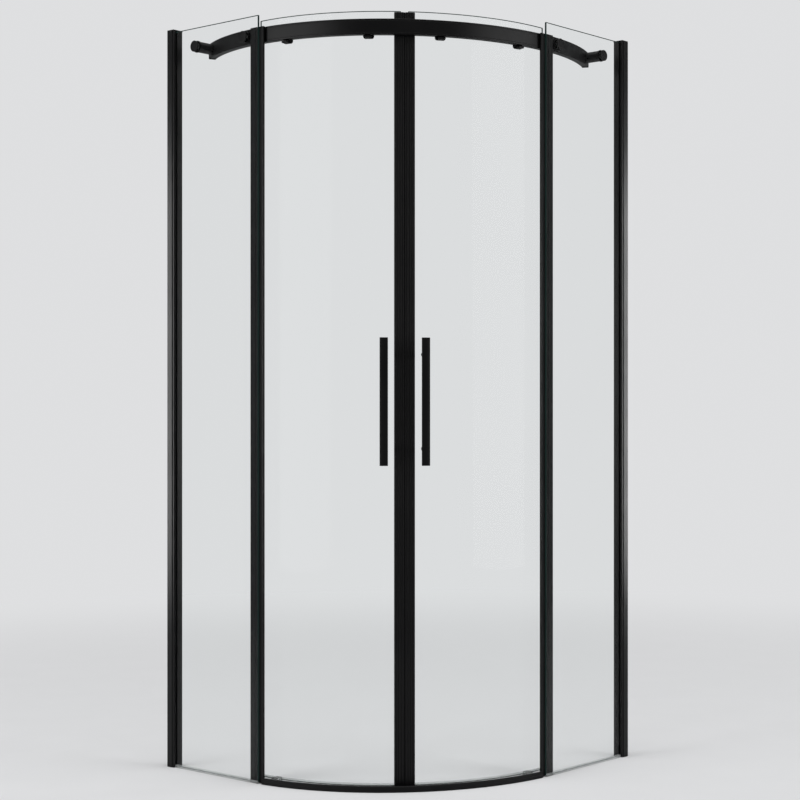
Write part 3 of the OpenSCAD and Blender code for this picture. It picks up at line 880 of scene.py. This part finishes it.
class SHOWER_OT_rail_fixings(BuildStep, bpy.types.Operator):
    """Make the standoffs, spacers, cap screws and grommets that hold the rail"""

    bl_idname = "shower.rail_fixings"
    bl_label = "Rail Fixings"

    def execute(self, context):
        edge = context.scene.shower_sizes.part_edge
        for node in ("long_standoffs", "short_spacers"):
            finished(rounded(node, edge, "Powder Coat"), node)
        places = mirrored([((x, -0.443, RAIL_Z), (0, -1, 0)) for x in FIXINGS_X])
        outline = [(0, -8), (4, -8), (4, 0)] + disc(15, 0, 3.75, 1.2, dome=0.25)[1:]
        finished(turned("cap_screw_heads", outline, places, "Powder Coat"), "cap_screws")
        grommet = ring([(4.1, 0), (9.8, 0), (10, -0.2), (10, -0.95), (5.9, -0.95)], -8)
        finished(turned("grommet_rings", grommet, places, "Clear Seal"), "glass_grommets")
        return {"FINISHED"}


class SHOWER_OT_threshold(BuildStep, bpy.types.Operator):
    """Make the curved threshold strip and the guides of the doors"""

    bl_idname = "shower.threshold"
    bl_label = "Threshold"

    def execute(self, context):
        start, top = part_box("curved_threshold")[0].x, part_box("curved_threshold")[1].z / MM
        width, overhang, slope, plate = 58, 15, 1.5, 2
        outer = RAIL_RO / MM + overhang
        inner, line = outer - width, top / 2
        strip = swept("curved_threshold_extrusion", [
            (inner, 0), (outer, 0, 0.3), (outer, line - 0.6, 0.3), (outer - 0.8, line, 0.3),
            (outer, line + 0.6, 0.3), (outer, top - slope, 0.8), (outer - slope, top, 0.8),
            (outer - 10 + slope, top, 0.8), (outer - 10, top - slope, 0.8),
            (outer - 14, plate, 0.6), (inner + plate, plate, 0.8), (inner, 1, 0.4),
        ], 0, 90, "Powder Coat")

        def trim(mesh):
            for place, direction in (((start, 0, 0), (-1, 0, 0)), ((0, -start, 0), (0, 1, 0))):
                made = bmesh.ops.bisect_plane(
                    mesh, geom=mesh.verts[:] + mesh.edges[:] + mesh.faces[:], dist=1e-7,
                    plane_co=place, plane_no=direction, clear_outer=True)
                rim = [e for e in made["geom_cut"] if isinstance(e, bmesh.types.BMEdge)]
                bmesh.ops.edgeloop_fill(mesh, edges=rim)
            face_outwards(mesh)

        edit(strip, trim)
        finished(shade(strip), "curved_threshold")
        rounded_pair("door_guide_left", 0.5 * MM, "Clear Guide", 2)
        return {"FINISHED"}


class SHOWER_OT_door_panes(BuildStep, bpy.types.Operator):
    """Make the curved door panes with their bottom seals"""

    bl_idname = "shower.door_panes"
    bl_label = "Door Panes"

    def execute(self, context):
        sizes = context.scene.shower_sizes
        arris = sizes.glass_arris / MM
        low, high = PANE_Z0 / MM, PANE_Z1 / MM
        inner, outer = PANE_RI / MM + 0.05, PANE_RO / MM - 0.05
        pane = swept("door_glass_left_pane", [
            (inner, low, arris), (outer, low, arris), (outer, high, arris), (inner, high, arris),
        ], PANE_START, PANE_END, "Clear Glass", 1)
        round_edges(pane, sizes.glass_arris, 1, 50)
        past = 5 * MM
        holes = [(spot(angle, PANE_RI - past, z), spot(angle, PANE_RO + past, z), width * MM)
                 for angle, z, width in (
                     (LEADING, WHEEL_Z, 14), (TRAILING, WHEEL_Z, 14),
                     (HANDLE_AT, POSTS_Z[0], 12), (HANDLE_AT, POSTS_Z[1], 12))]
        cut(pane, drills(holes, 48))
        finish_pane(pane, "door_glass_left",
                    lambda centre: Vector((*(centre.xy - CENTRE), 0)).normalized())

        seal = swept("door_bottom_seal_left_strip", [
            (inner - 0.85, low + 6, 0.2), (inner - 0.85, low - 4, 0.4), (inner + 1, low - 5, 0.4),
            (outer + 0.85, low - 3, 0.4), (outer + 0.85, low + 6, 0.2),
            (outer + 0.05, low + 6, 0.2), (outer + 0.05, low - 0.05), (inner - 0.05, low - 0.05),
            (inner - 0.05, low + 6, 0.2),
        ], SEAL_START, SEAL_END, "Clear Seal", 2)
        both_sides(shade(seal), "door_bottom_seal_left")
        return {"FINISHED"}


class SHOWER_OT_door_profiles(BuildStep, bpy.types.Operator):
    """Make the closing profiles, magnet strips and rear profiles of the doors"""

    bl_idname = "shower.door_profiles"
    bl_label = "Door Profiles"

    def execute(self, context):
        edge = context.scene.shower_sizes.profile_edge / MM
        coat = "Powder Coat"
        low, high = spans("closing_profile_left")
        back, face, middle, end = 512, 531.5, -2, -26.6
        grooves = [point for at in (-21.4, -15.4, -8.6) for point in (
            (face, at - 1.3, 0.25), (face - 1.2, at, 0.2), (face, at + 1.3, 0.25))]
        closing = upright("closing_profile_left_extrusion", on_curve(45, [
            (back, end, 1.2), (519.32, end, 0.3), (519.72, -17), (519.92, -9), (525.98, -9),
            (525.8, -17), (525.42, end, 0.3), (face - 2.2, end, 0.8), (face, end + 2.2, 0.8),
            *grooves, (face, middle, 1.4), (525, middle, 0.3), (525, -5), (521, -5),
            (521, middle, 0.3), (back, middle, 1.2)]), low, high, coat)
        round_edges(closing, 0.6 * MM)
        both_sides(shade(closing), "closing_profile_left")
        strip = upright("magnet_strip_left_extrusion", on_curve(45, [
            (515.5, -2, 0.2), (521, -2), (521, -5, 0.3), (525, -5, 0.3), (525, -2),
            (528.5, -2, 0.2), (528.5, -0.03, 0.3), (515.5, -0.03, 0.3)]),
            low, high, "Black Rubber")
        both_sides(shade(strip), "magnet_strip_left")

        low, high = spans("rear_profile_left")
        rear = upright("rear_profile_left_extrusion", on_curve(PANE_START, [
            (517.5, -3, 0.9), (528.5, -3, 0.9), (528.5, -0.25, 0.4), (541, -0.25, 0.4),
            (541, -3, 0.3), (543.95, -3, edge), (543.75, 15, edge), (541, 15, 0.3),
            (541, 2.75, 0.4), (528.5, 2.75, 0.4), (528.5, 5.5, 0.3), (526.02, 5.5, 0.2),
            (526.05, -0.05), (519.9, -0.05), (519.87, 5.5, 0.2), (517.5, 5.5, 0.3),
        ]), low, high, coat)
        round_edges(rear, 0.5 * MM)
        both_sides(shade(rear), "rear_profile_left")
        return {"FINISHED"}


class SHOWER_OT_rollers(BuildStep, bpy.types.Operator):
    """Make the roller carriages, their bolts and caps, and the roller wheels"""

    bl_idname = "shower.rollers"
    bl_label = "Rollers"

    def execute(self, context):
        edge = context.scene.shower_sizes.part_edge
        rounded_pair("roller_carriages_left", edge, "Moulded Black")
        repaint_both("roller_bolts_left", "Bright Steel")
        places = [(spot(angle, PANE_RI - 0.15 * MM, WHEEL_Z), -outward(angle))
                  for angle in (LEADING, TRAILING)]
        caps = disc(12, 0, 9.4, 2.2, dome=0.45)
        both_sides(turned("roller_caps_left_turned", caps, places, "Moulded Black"),
                   "roller_caps_left")

        width = 9
        tyre = ring([(10.5, 0.4), (13.2, 0.2), (14, 0), (14.5, 0.15), (14.85, 0.55), (15, 1.1)],
                    width)
        bearing = ring([(4.1, 0.7), (5.9, 0.7), (6.1, 1.2), (8, 1.2), (8.2, 0.7), (10.45, 0.7)],
                       width)
        for wheel, angle in (("leading", LEADING), ("trailing", TRAILING)):
            node = "wheel_left_" + wheel
            at = [(spot(angle, RAIL_RI + 4 * MM, WHEEL_Z), outward(angle))]
            both_sides(turned(node + "_tyre", tyre, at, "White Nylon"), node)
            core = turned(node + "_bearing", bearing, at, "Bright Steel")
            for piece in both_sides(core, node, replaced=False):
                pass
        return {"FINISHED"}


class SHOWER_OT_handles(BuildStep, bpy.types.Operator):
    """Make the handle bars, their posts and their inner caps"""

    bl_idname = "shower.handles"
    bl_label = "Handles"

    def execute(self, context):
        crown = context.scene.shower_sizes.handle_crown / MM
        coat = "Powder Coat"
        low, high = spans("handle_left")
        inner, outer, half = HANDLE_RI, HANDLE_RI + 8, 10.5
        shoulder = outer - crown
        front = [(outer - crown * (2.25 * k / half) ** 2, 2.25 * k) for k in range(-4, 5)]
        bar = upright("handle_left_bar", on_curve(HANDLE_AT, [
            (inner, -half, 1), (shoulder, -half, 1), *front, (shoulder, half, 1),
            (inner, half, 1)]), low, high, coat)
        round_edges(bar, 0.9 * MM, 3, 50)
        both_sides(shade(bar, 30), "handle_left")

        out = outward(HANDLE_AT)
        posts = [(spot(HANDLE_AT, PANE_RO - 0.05 * MM, z), out) for z in POSTS_Z]
        post = turned("handle_left_posts", [
            (0, 0), (5.8, 0), (6, 0.2), (6, 1.2), (5.6, 1.5), (5.6, 1.9), (6, 2.2), (6, 28.8),
            (6.4, 29.4), (7, 29.8), (7.2, 30.2), (0, 30.2)], posts, coat)
        both_sides(post, "handle_left", replaced=False)
        caps = [(spot(HANDLE_AT, PANE_RI - 0.1 * MM, z), -out) for z in POSTS_Z]
        both_sides(turned("handle_fixings_left_caps", disc(7, 0, 4.7, 1.1, dome=0.25), caps, coat),
                   "handle_fixings_left")
        return {"FINISHED"}


class SHOWER_OT_stage(BuildStep, bpy.types.Operator):
    """Make the floor, the background, the soft lamps and the camera"""

    bl_idname = "shower.stage"
    bl_label = "Stage"

    def execute(self, context):
        scene = context.scene
        look = scene.shower_stage
        make_floor(look)
        make_world(scene, look)
        make_lamps(look)
        camera = link("camera", bpy.data.cameras.new("camera"))
        camera.location = look.camera_place
        camera.rotation_euler = (math.radians(90), 0, look.camera_turn)
        camera.data.lens = look.lens
        camera.data.shift_x = look.shift_x
        camera.data.shift_y = look.shift_y
        scene.camera = camera
        scene.view_settings.view_transform = "Standard"
        return {"FINISHED"}


def lit_backdrop(nodes, kind, plain, share, look, output):
    """A glow that camera, glass and gloss rays see, by a share, in place of a plain surface.

    Gloss mirrors only a part of its strength.
    """
    path = nodes.add("ShaderNodeLightPath").outputs
    seen = nodes.math("MAXIMUM", path["Is Camera Ray"], path["Is Glossy Ray"])
    seen = nodes.math("MAXIMUM", seen, path["Is Transmission Ray"])
    strength = ranged(nodes, path["Glossy Depth"], 1.0, look.mirrored, 0.0, 1.0)
    glow = nodes.add(kind, Color=(*look.background, 1.0), Strength=strength)
    mixed = nodes.add("ShaderNodeMixShader", in_0=nodes.math("MULTIPLY", share, seen))
    nodes.join(plain, mixed.inputs[1])
    nodes.join(glow, mixed.inputs[2])
    nodes.join(mixed, nodes.add(output).inputs["Surface"])


def make_floor(look):
    """A large pale floor that fades into the background."""
    floor = edit(drawn("floor"), lambda mesh: bmesh.ops.create_circle(
        mesh, cap_ends=True, segments=96, radius=40))
    floor.location.z = -0.2 * MM
    nodes = bare_nodes(bpy.data.materials.new("Pale Floor"))
    place = nodes.add("ShaderNodeTexCoord").outputs["Object"]
    reach = nodes.add("ShaderNodeVectorMath", {"operation": "LENGTH"}, Vector=place)
    far = nodes.add("ShaderNodeMapRange", {"interpolation_type": "SMOOTHSTEP"},
                    Value=reach.outputs["Value"], From_Min=1.1, From_Max=4.5)
    tone = shades(nodes, noise(nodes, place, 6, 5), tuple(look.floor), 0.985, 1)
    skin = relief(nodes, noise(nodes, place, 350, 3), 0.1, 0.2)
    matt = nodes.add("ShaderNodeBsdfDiffuse", Color=tone, Roughness=0.6, Normal=skin)
    lit_backdrop(nodes, "ShaderNodeEmission", matt, far, look, "ShaderNodeOutputMaterial")
    paint(floor, "Pale Floor")


def make_world(scene, look):
    """A pale room that lights the enclosure evenly from all sides."""
    scene.world = bpy.data.worlds.new("Pale Room")
    nodes = bare_nodes(scene.world)
    fill = nodes.add("ShaderNodeBackground", Color=(1, 1, 1, 1), Strength=look.fill)
    lit_backdrop(nodes, "ShaderNodeBackground", fill, 1.0, look, "ShaderNodeOutputWorld")


def make_lamps(look):
    """A soft ceiling lamp, two soft side lamps, and a narrow strip lamp for each wall profile."""
    for name, place, aim, size, spread, power in (
            ("ceiling", (0.5, -0.5, 4.6), (0.1, -0.1, 0), (4.0, 4.0), 180, 75),
            ("left", (-1.45, -4.7, 1.7), (-0.1, -0.1, 1.2), (3.6, 3.2), 180, 95),
            ("right", (4.7, 1.45, 1.7), (0.1, 0.1, 1.2), (3.6, 3.2), 180, 95),
            ("strip_left", (-1.583, -1.164, 1.1), (-0.44, -0.45, 1.1), (0.3, 1.45), 60, 1.7),
            ("strip_right", (1.1, 1.623, 1.1), (0.45, 0.44, 1.1), (0.3, 1.45), 60, 2.4)):
        lamp = bpy.data.lights.new("soft_" + name, "AREA")
        lamp.shape = "RECTANGLE"
        lamp.size, lamp.size_y = size
        lamp.spread = math.radians(spread)
        lamp.energy = power * look.lamps
        holder = link(lamp.name, lamp)
        holder.location = place
        holder.rotation_euler = (Vector(aim) - Vector(place)).to_track_quat("-Z", "Y").to_euler()
        holder.visible_camera = False
        holder.visible_transmission = False


class SHOWER_PT_build(bpy.types.Panel):
    """Steps that build the enclosure"""

    bl_idname = "SHOWER_PT_build"
    bl_label = "Corner Shower Enclosure"
    bl_space_type = "VIEW_3D"
    bl_region_type = "UI"
    bl_category = "Shower"

    def draw(self, context):
        scene = context.scene
        steps = self.layout.column(align=True)
        for step in STEPS:
            steps.operator(step.bl_idname)
        for name, kind in GROUPS.items():
            box = self.layout.box()
            box.label(text=name.split("_")[1].title())
            for key in kind.__annotations__:
                box.prop(getattr(scene, name), key)


STEPS = (
    SHOWER_OT_finishes, SHOWER_OT_wall_profiles, SHOWER_OT_side_panels, SHOWER_OT_curved_rail,
    SHOWER_OT_rail_fixings, SHOWER_OT_threshold, SHOWER_OT_door_panes, SHOWER_OT_door_profiles,
    SHOWER_OT_rollers, SHOWER_OT_handles, SHOWER_OT_stage)
GROUPS = {"shower_sizes": ShowerSizes, "shower_finishes": ShowerFinishes,
          "shower_stage": ShowerStage}
CLASSES = (*GROUPS.values(), *STEPS, SHOWER_PT_build)


def register():
    for item in CLASSES:
        bpy.utils.register_class(item)
    for name, kind in GROUPS.items():
        setattr(bpy.types.Scene, name, PointerProperty(type=kind))


def unregister():
    for name in GROUPS:
        delattr(bpy.types.Scene, name)
    for item in reversed(CLASSES):
        bpy.utils.unregister_class(item)


def main():
    register()
    for step in STEPS:
        family, action = step.bl_idname.split(".")
        getattr(getattr(bpy.ops, family), action)()


if __name__ == "__main__":
    main()
